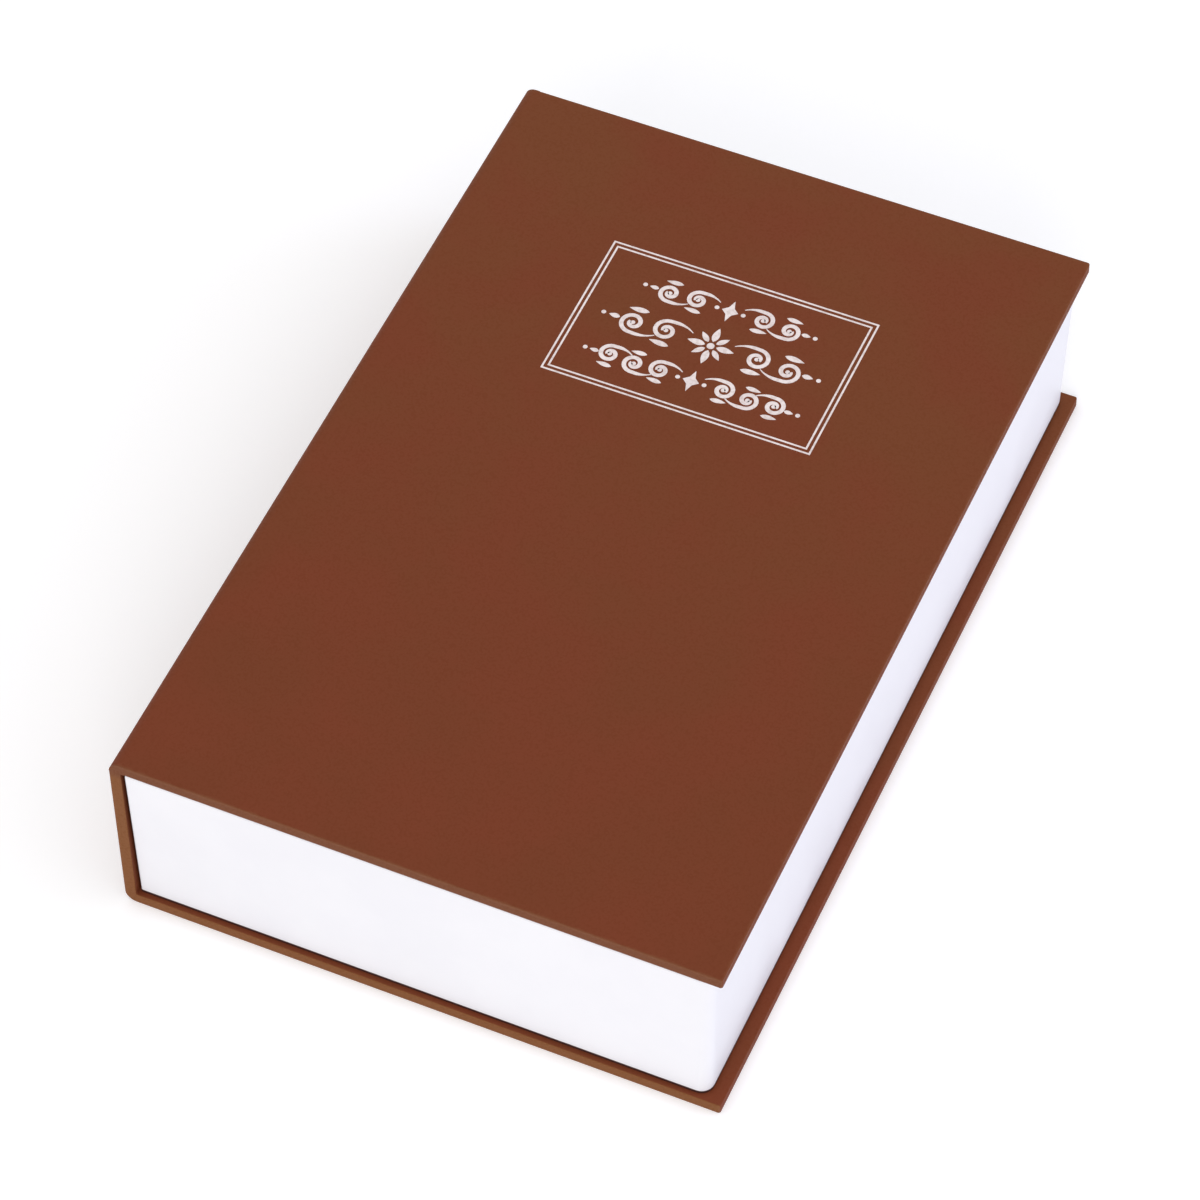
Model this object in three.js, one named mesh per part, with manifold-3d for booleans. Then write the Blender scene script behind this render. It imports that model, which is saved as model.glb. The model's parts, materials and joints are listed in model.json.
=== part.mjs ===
// A book diversion safe: a hardback case round a moulded page block, with a locking steel box inside.
// Millimetres. While it is built, u runs from the spine to the fore edge, v from tail to head, z up.
// The last group moves the book so that x and y are 0 in its middle and z is 0 under the back cover.

import * as THREE from 'three';
import { mergeVertices } from 'three/addons/utils/BufferGeometryUtils.js';
import Module from 'manifold-3d';

const wasm = await Module();
wasm.setup();

// The closed book
const bookWidth = 157;
const bookLength = 240;
const bookHeight = 55;

// The case: grey boards in one brown covering sheet, turned in round their edges
const boardThickness = 2.2;
const sheetThickness = 0.4;
const turnInWidth = 15;
const coverCornerRadius = 1.5;
const boardPlay = 0.15;
const jointWidth = 1;
const liningThickness = 0.3;
const liningBorder = 3.5;

// The moulded page block: a shell with draft, a rim, a lip round its well, and ribs
const restGap = 0.3;
const squareAtFore = 2.4;
const squareAtEnds = 0.4;
const spineGap = 0.3;
const shellDraft = 1.1;
const shellWall = 1.8;
const shellForeRadius = 3.3;
const shellSpineRadius = 1;
const shellInsideRadius = 0.2;
const shellEdgeRadius = 0.8;
const rimWidth = 9;
const lipWall = 1.6;
const lipDepth = 6;
const wellCornerRadius = 2.9;
const ribThickness = 1.4;
const sideRibShares = [0.2, 0.4, 0.6, 0.8];
const endRibShares = [0.25, 0.5, 0.75];

// The steel box on two strips of foam tape: walls and rim folded from one sheet, welded to a floor plate
const trayPlay = 0.4;
const traySteel = 0.8;
const trayCornerRadius = 2.5;
const trayFlange = 6;
const tapeThickness = 1;
const tapeWidth = 20;
const tapeEndRoom = 14;
const tapeShares = [0.3, 0.7];

// The lid: a plate with a raised panel pressed into it
const lidRecess = 4.4;
const lidSteel = 0.8;
const lidSeatGap = 0.2;
const lidPlay = 0.8;
const lidCornerRadius = 2;
const panelBorder = 12;
const panelRise = 0.8;
const panelSlope = 0.8;
const panelCornerRadius = 5;

// The piano hinge of the lid
const hingeEndRoom = 9.2;
const leafSteel = 0.8;
const pinRadius = 1;
const pinPlay = 0.1;
const knuckleCount = 16;
const knuckleGap = 0.3;
const knuckleSwing = 0.4;
const movingLeafWidth = 12;
const fixedLeafDepth = 14;
const pinHeadRadius = 1.5;
const pinHeadLength = 0.6;
const hingeRivetCount = 5;
const hingeRivetEndRoom = 10;

// Rivets
const rivetRadius = 1.5;
const rivetHoleRadius = 1.7;
const rivetHeadRadius = 2.8;
const rivetHeadHeight = 1;
const rivetTailRadius = 2.3;
const rivetTailHeight = 0.8;

// The cam lock in the lid
const lockFromFore = 27.2;
const lockHeadRadius = 10;
const lockHeadHeight = 2.2;
const lockHeadBevel = 0.7;
const barrelRadius = 8;
const barrelFlat = 7;
const barrelLength = 16;
const barrelPlay = 0.3;
const plugRadius = 5.5;
const plugPlay = 0.2;
const plugFaceRadius = 6.5;
const plugFaceHeight = 1;
const plugSink = 0.2;
const plugStandOff = 0.4;
const plugTail = 6;
const keywayWidth = 1.8;
const keywayHeight = 8;
const keywayDepth = 15;
const waferCount = 4;
const waferPitch = 2.6;
const waferFirst = 4;
const waferThickness = 0.6;
const waferWidth = 4.6;
const waferPlay = 0.2;
const waferWindowWidth = 2.6;
const waferWindowHeight = 6.4;
const wardWidth = 5.4;
const wardDepth = 1;
const nutAcrossFlats = 22;
const nutHeight = 3;
const washerThickness = 0.6;
const washerRadius = 11.2;
const washerNotch = 0.9;
const washerTeeth = 12;
const camThickness = 1.6;
const camReach = 25.2;
const camHubRadius = 7;
const camArmWidth = 10;
const camPlay = 0.2;
const camWasherThickness = 0.8;
const camWasherRadius = 5;
const screwRadius = 1.5;
const screwHoleRadius = 1.7;
const screwLength = 6;
const screwHeadRadius = 3.6;
const screwHeadHeight = 2;
const screwSlotWidth = 0.8;
const screwSlotDepth = 0.9;

// The strike under which the cam turns
const strikeSteel = 1.2;
const strikeReach = 8;
const strikeHeight = 12;
const strikeLength = 36;
const strikeClearance = 0.6;
const strikeRivetPitch = 20;

// Fineness of curves, and one overrun for every cut
const cornerSteps = 6;
const edgeSteps = 3;
const roundSides = 32;
const smallSides = 16;
const overrun = 1;

// Heights and places that follow from the sizes above
const coverThickness = 2 * sheetThickness + boardThickness;
const spineTop = bookHeight - coverThickness;
const frontStart = coverThickness + jointWidth;
const shellFoot = coverThickness;
const shellTop = spineTop - liningThickness - restGap;
const shellOutline = {
  u0: coverThickness + spineGap,
  u1: bookWidth - squareAtFore,
  v0: squareAtEnds,
  v1: bookLength - squareAtEnds,
};
const well = inset(shellOutline, rimWidth);
const tray = inset(well, trayPlay);
const trayFoot = shellFoot + tapeThickness;
const lidBottom = shellTop - lidRecess;
const trayTop = lidBottom - lidSeatGap;
const lidTop = lidBottom + lidSteel;
const panelTop = lidTop + panelRise;
const knuckleRadius = pinRadius + leafSteel;
const pinAxis = { u: tray.u0 + traySteel + knuckleRadius, z: lidBottom - leafSteel + knuckleRadius };
const hingeStart = tray.v0 + hingeEndRoom;
const hingeEnd = tray.v1 - hingeEndRoom;
const hingeLength = hingeEnd - hingeStart;
const lid = {
  u0: pinAxis.u + knuckleRadius + knuckleSwing,
  u1: well.u1 - lidPlay,
  v0: well.v0 + lidPlay,
  v1: well.v1 - lidPlay,
};
const lockAxis = { u: lid.u1 - lockFromFore, v: bookLength / 2 };
const lockFace = panelTop + lockHeadHeight;
const barrelEnd = panelTop - barrelLength;
const plugShoulder = barrelEnd - plugStandOff;
const camBottom = plugShoulder - camThickness;
const strikeUnderside = plugShoulder + strikeClearance;
const hingeRivetHeight = pinAxis.z - knuckleRadius - fixedLeafDepth / 2;
const hingeRivetU = lid.u0 + (movingLeafWidth - knuckleRadius - knuckleSwing) / 2;
const strikeRivetHeight = strikeUnderside + (strikeHeight + strikeSteel) / 2;
const rivetHoleLength = 2 * (traySteel + lidSteel + leafSteel + strikeSteel + overrun);

// Rectangles in plan
function inset(r, by) {
  return { u0: r.u0 + by, u1: r.u1 - by, v0: r.v0 + by, v1: r.v1 - by };
}

// The outline of a rectangle with round corners, anticlockwise; the two at the spine may differ
function roundedOutline(r, radius, spineRadius = radius) {
  const corners = [
    [r.u1 - radius, r.v1 - radius, radius],
    [r.u0 + spineRadius, r.v1 - spineRadius, spineRadius],
    [r.u0 + spineRadius, r.v0 + spineRadius, spineRadius],
    [r.u1 - radius, r.v0 + radius, radius],
  ];
  const points = [];
  corners.forEach(([u, v, size], quarter) => {
    for (let i = 0; i <= cornerSteps; i += 1) {
      const angle = (quarter + i / cornerSteps) * Math.PI / 2;
      points.push(new THREE.Vector2(u + size * Math.cos(angle), v + size * Math.sin(angle)));
    }
  });
  return points;
}

// Points of an arc about (u, z), from one angle to another, in quarter turns
function arc(u, z, radius, from, to, steps = cornerSteps) {
  const points = [];
  for (let i = 0; i <= steps; i += 1) {
    const angle = (from + (to - from) * i / steps) * Math.PI / 2;
    points.push(new THREE.Vector2(u + radius * Math.cos(angle), z + radius * Math.sin(angle)));
  }
  return points;
}

// A closed mesh becomes a solid that can be cut and joined
function solid(geometry) {
  const bare = geometry.clone();
  bare.deleteAttribute('normal');
  bare.deleteAttribute('uv');
  const merged = mergeVertices(bare.index ? bare.toNonIndexed() : bare);
  const mesh = new wasm.Mesh({
    numProp: 3,
    vertProperties: new Float32Array(merged.attributes.position.array),
    triVerts: new Uint32Array(merged.index.array),
  });
  return new wasm.Manifold(mesh);
}

// And a finished solid becomes a geometry again
function geometryOf(body) {
  const mesh = body.getMesh();
  const geometry = new THREE.BufferGeometry();
  const count = mesh.vertProperties.length / mesh.numProp;
  const positions = new Float32Array(count * 3);
  for (let i = 0; i < count; i += 1) {
    for (let k = 0; k < 3; k += 1) positions[i * 3 + k] = mesh.vertProperties[i * mesh.numProp + k];
  }
  geometry.setAttribute('position', new THREE.BufferAttribute(positions, 3));
  geometry.setIndex(new THREE.BufferAttribute(new Uint32Array(mesh.triVerts), 1));
  return geometry;
}

function block(r, z0, z1) {
  const shape = new THREE.BoxGeometry(r.u1 - r.u0, r.v1 - r.v0, z1 - z0);
  return solid(shape.translate((r.u0 + r.u1) / 2, (r.v0 + r.v1) / 2, (z0 + z1) / 2));
}

// A plan outline pulled up between two heights
function prism(points, z0, z1, hole) {
  const shape = new THREE.Shape(points);
  if (hole) shape.holes.push(new THREE.Path(hole));
  const geometry = new THREE.ExtrudeGeometry(shape, { depth: z1 - z0, bevelEnabled: false });
  return solid(geometry.translate(0, 0, z0));
}

// A cross-section in u and z, run along the book from v0 to v1
function run(points, v0, v1) {
  const shape = new THREE.Shape(points);
  const geometry = new THREE.ExtrudeGeometry(shape, { depth: v1 - v0, bevelEnabled: false });
  return solid(geometry.rotateX(Math.PI / 2).translate(0, v1, 0));
}

// A stack of outlines with the same number of points, skinned and capped
function loft(rings) {
  const count = rings[0].points.length;
  const positions = [];
  const triangles = [];
  rings.forEach((ring) => ring.points.forEach((p) => positions.push(p.x, p.y, ring.z)));
  for (let level = 0; level < rings.length - 1; level += 1) {
    for (let i = 0; i < count; i += 1) {
      const a = level * count + i;
      const b = level * count + (i + 1) % count;
      triangles.push(a, b, b + count, a, b + count, a + count);
    }
  }
  const last = (rings.length - 1) * count;
  THREE.ShapeUtils.triangulateShape(rings[0].points, []).forEach(([a, b, c]) => {
    triangles.push(c, b, a, last + a, last + b, last + c);
  });
  const geometry = new THREE.BufferGeometry();
  geometry.setAttribute('position', new THREE.Float32BufferAttribute(positions, 3));
  geometry.setIndex(triangles);
  return solid(geometry);
}

// A profile of [radius, height] points that starts and ends on the axis, turned about z at (u, v)
function turned(profile, u, v, sides = roundSides) {
  const points = profile.map(([radius, height]) => new THREE.Vector2(radius, height));
  const geometry = new THREE.LatheGeometry(points, sides);
  return solid(geometry.rotateX(Math.PI / 2).translate(u, v, 0));
}

function cylinder(radius, z0, z1, u, v, sides = roundSides) {
  return turned([[0, z0], [radius, z0], [radius, z1], [0, z1]], u, v, sides);
}

function joined(bodies) {
  return bodies.reduce((sum, body) => sum.add(body));
}

function cut(body, tools) {
  return tools.reduce((rest, tool) => rest.subtract(tool), body);
}

// Plan outlines of a cover: only its fore corners are round
function coverPlan(by) {
  const beyondSpine = { u0: -bookWidth, u1: bookWidth - by, v0: by, v1: bookLength - by };
  return prism(roundedOutline(beyondSpine, coverCornerRadius - by), -overrun, bookHeight + overrun);
}

// Where the turn-ins stop and a lining meets the board
function turnInWindow(u0, z0, z1) {
  const v1 = bookLength - turnInWidth;
  return block({ u0, u1: bookWidth - turnInWidth, v0: turnInWidth, v1 }, z0, z1);
}

// The covering sheet of the back board and the spine, in one piece, round the lower spine corner
function backAndSpineSheet() {
  const t = coverThickness;
  const s = sheetThickness;
  const top = spineTop + overrun;
  const corner = arc(t, t, t, 3, 2);
  const outer = [[bookWidth, 0], ...corner.map((p) => [p.x, p.y]), [0, spineTop], [t, spineTop], [t, t],
    [bookWidth, t]];
  const insideCorner = arc(t, t, t - s, 3, 2);
  const inner = [[bookWidth, s], ...insideCorner.map((p) => [p.x, p.y]), [s, top], [t - s, top],
    [t - s, t - s], [bookWidth, t - s]];
  const toPoints = (list) => list.map(([u, z]) => new THREE.Vector2(u, z)).reverse();
  const body = run(toPoints(outer), 0, bookLength).intersect(coverPlan(0));
  const hollow = run(toPoints(inner), s, bookLength - s).intersect(coverPlan(s));
  const middle = t / 2;
  const backWindow = turnInWindow(t - s, middle, t + overrun);
  const spineWindow = block(
    { u0: middle, u1: t + overrun, v0: turnInWidth, v1: bookLength - turnInWidth },
    t - s,
    top,
  );
  return cut(body, [hollow, backWindow, spineWindow]);
}

function backBoard() {
  const room = sheetThickness + boardPlay;
  const plan = inset({ u0: 0, u1: bookWidth, v0: 0, v1: bookLength }, room);
  const outline = roundedOutline({ ...plan, u0: coverThickness + boardPlay }, coverCornerRadius - room);
  return prism(outline, sheetThickness, sheetThickness + boardThickness);
}

function spineBoard() {
  const room = sheetThickness + boardPlay;
  const plan = { u0: sheetThickness, u1: sheetThickness + boardThickness, v0: room, v1: bookLength - room };
  return block(plan, coverThickness + boardPlay, spineTop - boardPlay);
}

function backLining() {
  const room = turnInWidth + boardPlay;
  const plan = inset({ u0: 0, u1: bookWidth, v0: 0, v1: bookLength }, room);
  return block({ ...plan, u0: coverThickness + boardPlay }, coverThickness - sheetThickness, coverThickness);
}

// The covering sheet of the front board, open at the joint, where the hinge cloth takes over
function frontSheet() {
  const s = sheetThickness;
  const beyond = { u0: 0, u1: bookWidth + overrun, v0: -overrun, v1: bookLength + overrun };
  const slab = coverPlan(0).intersect(block({ ...beyond, u0: frontStart }, spineTop, bookHeight));
  const hollow = coverPlan(s).intersect(block(beyond, spineTop + s, bookHeight - s));
  const window = turnInWindow(0, spineTop - overrun, (spineTop + bookHeight) / 2);
  return cut(slab, [hollow, window]);
}

function frontBoard() {
  const room = sheetThickness + boardPlay;
  const plan = inset({ u0: 0, u1: bookWidth, v0: 0, v1: bookLength }, room);
  const outline = roundedOutline({ ...plan, u0: frontStart + boardPlay }, coverCornerRadius - room);
  return prism(outline, spineTop + sheetThickness, bookHeight - sheetThickness);
}

// The lining fills the window in the turn-ins and laps over them to a narrow border
function frontLining() {
  const whole = { u0: 0, u1: bookWidth, v0: 0, v1: bookLength };
  const filling = { ...inset(whole, turnInWidth + boardPlay), u0: frontStart + boardPlay };
  const lap = { ...inset(whole, liningBorder), u0: frontStart + boardPlay };
  const low = spineTop - liningThickness;
  return block(filling, low, spineTop + sheetThickness).add(block(lap, low, spineTop));
}

// The free stretch of covering sheet round the upper spine corner, folded double at head and tail
function hingeCloth() {
  const t = coverThickness;
  const s = sheetThickness;
  const asPoint = ([u, z]) => new THREE.Vector2(u, z);
  const outside = arc(t, spineTop, t, 1, 2);
  const inside = arc(t, spineTop, t - s, 2, 1);
  const skin = [[frontStart, bookHeight], ...outside.map((p) => [p.x, p.y]),
    ...inside.map((p) => [p.x, p.y]), [frontStart, bookHeight - s]].map(asPoint);
  const fold = [[frontStart, bookHeight], ...outside.map((p) => [p.x, p.y]), [frontStart, spineTop]]
    .map(asPoint);
  return joined([
    run(skin, 0, bookLength),
    run(fold, 0, turnInWidth),
    run(fold, bookLength - turnInWidth, bookLength),
  ]);
}

// Outlines of the page block at a height, drawn in from its rim by draft and by more
// The side that is glued to the spine is square to the back cover
function shellRing(z, by) {
  const lean = shellDraft * (shellTop - z) / (shellTop - shellFoot);
  const plan = { ...inset(shellOutline, lean + by), u0: shellOutline.u0 + by };
  const spineRadius = Math.max(shellSpineRadius - by, shellInsideRadius);
  return { points: roundedOutline(plan, shellForeRadius - by, spineRadius), z };
}

function shellRim() {
  const rings = [];
  for (let i = 0; i <= edgeSteps; i += 1) {
    const angle = i / edgeSteps * Math.PI / 2;
    const z = shellTop - shellEdgeRadius * (1 - Math.sin(angle));
    rings.push(shellRing(z, shellEdgeRadius * (1 - Math.cos(angle))));
  }
  return rings;
}

function shellRibs() {
  const half = ribThickness / 2;
  const top = shellTop - shellWall / 2;
  const sideRibs = sideRibShares.map((share) => {
    const v = share * bookLength;
    return block({ u0: 0, u1: bookWidth, v0: v - half, v1: v + half }, shellFoot, top);
  });
  const endRibs = endRibShares.map((share) => {
    const u = share * bookWidth;
    return block({ u0: u - half, u1: u + half, v0: 0, v1: bookLength }, shellFoot, top);
  });
  return joined([...sideRibs, ...endRibs]);
}

function pageShell() {
  const outer = loft([shellRing(shellFoot, 0), ...shellRim()]);
  const inner = loft([shellRing(shellFoot - overrun, shellWall), shellRing(shellTop - shellWall, shellWall)]);
  const lipPlan = roundedOutline(inset(well, -lipWall), wellCornerRadius + lipWall);
  const lip = prism(lipPlan, shellTop - lipDepth, shellTop - shellWall / 2);
  const opening = prism(roundedOutline(well, wellCornerRadius), 0, bookHeight);
  return outer.subtract(inner).add(lip).add(shellRibs().intersect(outer)).subtract(opening);
}

function foamTape(share) {
  const middle = tray.u0 + share * (tray.u1 - tray.u0);
  const plan = {
    u0: middle - tapeWidth / 2,
    u1: middle + tapeWidth / 2,
    v0: tray.v0 + tapeEndRoom,
    v1: tray.v1 - tapeEndRoom,
  };
  return block(plan, shellFoot, trayFoot);
}

function trayFloor() {
  return prism(roundedOutline(tray, trayCornerRadius), trayFoot, trayFoot + traySteel);
}

function rivetHole(u, v, z, along) {
  const geometry = new THREE.CylinderGeometry(rivetHoleRadius, rivetHoleRadius, rivetHoleLength, smallSides);
  if (along === 'u') geometry.rotateZ(Math.PI / 2);
  if (along === 'z') geometry.rotateX(Math.PI / 2);
  return solid(geometry.translate(u, v, z));
}

function hingeRivetPlaces() {
  const pitch = (hingeLength - 2 * hingeRivetEndRoom) / (hingeRivetCount - 1);
  const places = [];
  for (let i = 0; i < hingeRivetCount; i += 1) {
    places.push(hingeStart + hingeRivetEndRoom + i * pitch);
  }
  return places;
}

function strikeRivetPlaces() {
  return [-1, 1].map((side) => lockAxis.v + side * strikeRivetPitch / 2);
}

function steelTray() {
  const outer = prism(roundedOutline(tray, trayCornerRadius), trayFoot + traySteel, trayTop);
  const inside = roundedOutline(inset(tray, traySteel), trayCornerRadius - traySteel);
  const room = prism(inside, trayFoot, trayTop - traySteel);
  const mouth = { ...inset(tray, trayFlange), u0: tray.u0 + traySteel };
  const opening = prism(roundedOutline(mouth, trayCornerRadius - traySteel), trayTop - trayFlange, shellTop);
  const backHoles = hingeRivetPlaces().map((v) => rivetHole(tray.u0, v, hingeRivetHeight, 'u'));
  const foreHoles = strikeRivetPlaces().map((v) => rivetHole(tray.u1, v, strikeRivetHeight, 'u'));
  return cut(outer, [room, opening, ...backHoles, ...foreHoles]);
}

// One knuckle: a leaf's tongue rolled round the pin
function knuckle(index, tongue) {
  const pitch = hingeLength / knuckleCount;
  const v0 = hingeStart + index * pitch + knuckleGap / 2;
  const v1 = v0 + pitch - knuckleGap;
  const ring = arc(pinAxis.u, pinAxis.z, knuckleRadius, 0, 4, smallSides).slice(0, -1);
  const corners = [[tongue.u0, tongue.z0], [tongue.u1, tongue.z0], [tongue.u1, tongue.z1], [tongue.u0, tongue.z1]];
  const flat = corners.map(([u, z]) => new THREE.Vector2(u, z));
  return run(ring, v0, v1).add(run(flat, v0, v1));
}

function pinHole() {
  const ring = arc(pinAxis.u, pinAxis.z, pinRadius + pinPlay, 0, 4, smallSides).slice(0, -1);
  return run(ring, 0, bookLength);
}

function knuckles(first, tongue) {
  const rolled = [];
  for (let i = first; i < knuckleCount; i += 2) rolled.push(knuckle(i, tongue));
  return rolled;
}

function fixedLeaf() {
  const u0 = tray.u0 + traySteel;
  const u1 = u0 + leafSteel;
  const low = pinAxis.z - knuckleRadius - knuckleSwing;
  const plate = block({ u0, u1, v0: hingeStart, v1: hingeEnd }, low - fixedLeafDepth, low);
  const tongues = knuckles(0, { u0, u1, z0: low - leafSteel, z1: pinAxis.z });
  const holes = hingeRivetPlaces().map((v) => rivetHole(u0, v, hingeRivetHeight, 'u'));
  return cut(joined([plate, ...tongues]), [pinHole(), ...holes]);
}

function movingLeaf() {
  const z0 = lidBottom - leafSteel;
  const far = pinAxis.u + movingLeafWidth;
  const plate = block({ u0: lid.u0, u1: far, v0: hingeStart, v1: hingeEnd }, z0, lidBottom);
  const tongues = knuckles(1, { u0: pinAxis.u, u1: lid.u0 + leafSteel, z0, z1: lidBottom });
  const holes = hingeRivetPlaces().map((v) => rivetHole(hingeRivetU, v, lidBottom, 'z'));
  return cut(joined([plate, ...tongues]), [pinHole(), ...holes]);
}

function hingePin() {
  const half = hingeLength / 2 + knuckleGap;
  const end = half + pinHeadLength;
  const profile = [[0, -end], [pinHeadRadius, -end], [pinHeadRadius, -half], [pinRadius, -half],
    [pinRadius, half], [pinHeadRadius, half], [pinHeadRadius, end], [0, end]];
  const points = profile.map(([radius, along]) => new THREE.Vector2(radius, along));
  const geometry = new THREE.LatheGeometry(points, smallSides);
  return solid(geometry.translate(pinAxis.u, bookLength / 2, pinAxis.z));
}

// A domed rivet: its head's underside at 0, its shank down through the sheets, its tail turned over
function rivetGeometry(grip) {
  const dome = arc(0, 0, 1, 0, 1, edgeSteps).map((p) => [p.x * rivetHeadRadius, p.y * rivetHeadHeight]);
  const profile = [[0, -grip - rivetTailHeight], [rivetTailRadius, -grip - rivetTailHeight],
    [rivetTailRadius, -grip], [rivetRadius, -grip], [rivetRadius, 0], ...dome.slice(0, -1),
    [0, rivetHeadHeight]];
  const points = profile.map(([radius, along]) => new THREE.Vector2(radius, along));
  return new THREE.LatheGeometry(points, smallSides);
}

// The raised panel, as a step of the plate and as the hollow under it
function panelStep(z0, extra) {
  const base = inset(lid, panelBorder);
  return loft([
    { points: roundedOutline(inset(base, -extra), panelCornerRadius + extra), z: z0 - extra },
    { points: roundedOutline(inset(base, panelSlope), panelCornerRadius - panelSlope), z: z0 + panelRise },
  ]);
}

function barrelOutline(play) {
  const round = cylinder(barrelRadius + play, barrelEnd - overrun, panelTop, lockAxis.u, lockAxis.v);
  const flat = {
    u0: lockAxis.u - barrelFlat - play,
    u1: lockAxis.u + barrelFlat + play,
    v0: lockAxis.v - barrelRadius - overrun,
    v1: lockAxis.v + barrelRadius + overrun,
  };
  return round.intersect(block(flat, barrelEnd - overrun, panelTop + overrun));
}

function lidPlate() {
  const plate = prism(roundedOutline(lid, lidCornerRadius), lidBottom, lidTop);
  const raised = plate.add(panelStep(lidTop, 0)).subtract(panelStep(lidBottom, panelSlope / 2));
  const holes = hingeRivetPlaces().map((v) => rivetHole(hingeRivetU, v, lidBottom, 'z'));
  const lockHole = barrelOutline(barrelPlay).translate(0, 0, panelRise);
  return cut(raised, [lockHole, ...holes]);
}

function lockBody() {
  const { u, v } = lockAxis;
  const head = turned([[0, panelTop], [lockHeadRadius, panelTop],
    [lockHeadRadius, lockFace - lockHeadBevel], [lockHeadRadius - lockHeadBevel, lockFace], [0, lockFace]], u, v);
  const barrel = barrelOutline(0).intersect(cylinder(lockHeadRadius, barrelEnd, lockFace, u, v));
  const bore = cylinder(plugRadius + plugPlay, barrelEnd - overrun, lockFace + overrun, u, v);
  const seat = lockFace - plugSink - plugFaceHeight - plugPlay;
  const counterbore = cylinder(plugFaceRadius + plugPlay, seat, lockFace + overrun, u, v);
  const half = wardWidth / 2;
  const reach = plugRadius + wardDepth;
  const grooves = block(
    { u0: u - half, u1: u + half, v0: v - reach, v1: v + reach },
    seat - waferFirst - waferCount * waferPitch,
    seat - waferFirst + waferPitch,
  );
  return cut(joined([head, barrel]), [bore, counterbore, grooves]);
}

function waferHeights() {
  const heights = [];
  for (let i = 0; i < waferCount; i += 1) {
    heights.push(lockFace - plugFaceHeight - waferFirst - i * waferPitch);
  }
  return heights;
}

function lockPlug() {
  const { u, v } = lockAxis;
  const face = lockFace - plugSink;
  const under = face - plugFaceHeight;
  const core = joined([
    cylinder(plugRadius, plugShoulder, under + plugPlay, u, v),
    cylinder(plugFaceRadius, under, face, u, v),
    block(
      { u0: u - plugTail / 2, u1: u + plugTail / 2, v0: v - plugTail / 2, v1: v + plugTail / 2 },
      camBottom + camPlay,
      plugShoulder + plugPlay,
    ),
  ]);
  const keyway = block(
    { u0: u - keywayWidth / 2, u1: u + keywayWidth / 2, v0: v - keywayHeight / 2, v1: v + keywayHeight / 2 },
    face - keywayDepth,
    face + overrun,
  );
  const half = waferWidth / 2 + waferPlay;
  const thick = waferThickness / 2 + waferPlay;
  const slots = waferHeights().map((z) => block(
    { u0: u - half, u1: u + half, v0: v - plugFaceRadius, v1: v + plugFaceRadius },
    z - thick,
    z + thick,
  ));
  const screwHole = cylinder(screwHoleRadius, camBottom, camBottom + screwLength + camPlay, u, v, smallSides);
  return cut(core, [keyway, screwHole, ...slots]);
}

function wafer(z) {
  const { u, v } = lockAxis;
  const half = waferThickness / 2;
  const side = waferWidth / 2;
  const blank = cylinder(plugRadius - waferPlay / 2, z - half, z + half, u, v)
    .intersect(block({ u0: u - side, u1: u + side, v0: v - plugRadius, v1: v + plugRadius }, z - half, z + half));
  const window = block({
    u0: u - waferWindowWidth / 2,
    u1: u + waferWindowWidth / 2,
    v0: v - waferWindowHeight / 2,
    v1: v + waferWindowHeight / 2,
  }, z - overrun, z + overrun);
  return blank.subtract(window);
}

function circle(radius, sides, turn = 0) {
  const points = [];
  for (let i = 0; i < sides; i += 1) {
    const angle = (i + turn) / sides * 2 * Math.PI;
    points.push(new THREE.Vector2(lockAxis.u + radius * Math.cos(angle), lockAxis.v + radius * Math.sin(angle)));
  }
  return points;
}

// Between the lid's underside and the nut
function lockWasher() {
  const teeth = circle(washerRadius, 2 * washerTeeth).map((p, i) => {
    const notch = i % 2 ? washerNotch : 0;
    const share = (washerRadius - notch) / washerRadius;
    return new THREE.Vector2(
      lockAxis.u + (p.x - lockAxis.u) * share,
      lockAxis.v + (p.y - lockAxis.v) * share,
    );
  });
  const top = panelTop - lidSteel;
  return prism(teeth, top - washerThickness, top, circle(barrelRadius + barrelPlay, roundSides));
}

function lockNut() {
  const top = panelTop - lidSteel - washerThickness;
  const hexagonRadius = nutAcrossFlats / 2 / Math.cos(Math.PI / 6);
  return prism(circle(hexagonRadius, 6), top - nutHeight, top, circle(barrelRadius + barrelPlay, roundSides));
}

// The cam points to the head when unlocked and turns to the fore edge to lock
function lockCam() {
  const { u, v } = lockAxis;
  const half = camArmWidth / 2;
  const hub = cylinder(camHubRadius, camBottom, plugShoulder, u, v);
  const arm = block({ u0: u - half, u1: u + half, v0: v, v1: v + camReach - half }, camBottom, plugShoulder);
  const tip = cylinder(half, camBottom, plugShoulder, u, v + camReach - half);
  const side = plugTail / 2 + camPlay;
  const hole = block(
    { u0: u - side, u1: u + side, v0: v - side, v1: v + side },
    camBottom - overrun,
    plugShoulder + overrun,
  );
  return joined([hub, arm, tip]).subtract(hole);
}

function camWasher() {
  const hole = circle(screwHoleRadius, smallSides);
  return prism(circle(camWasherRadius, roundSides), camBottom - camWasherThickness, camBottom, hole);
}

function camScrew() {
  const { u, v } = lockAxis;
  const seat = camBottom - camWasherThickness;
  const low = seat - screwHeadHeight;
  const screw = turned([[0, low], [screwHeadRadius, low], [screwHeadRadius, seat], [screwRadius, seat],
    [screwRadius, seat + screwLength], [0, seat + screwLength]], u, v, smallSides);
  const half = screwSlotWidth / 2;
  const slot = block(
    { u0: u - screwHeadRadius - overrun, u1: u + screwHeadRadius + overrun, v0: v - half, v1: v + half },
    low - overrun,
    low + screwSlotDepth,
  );
  return screw.subtract(slot);
}

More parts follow.
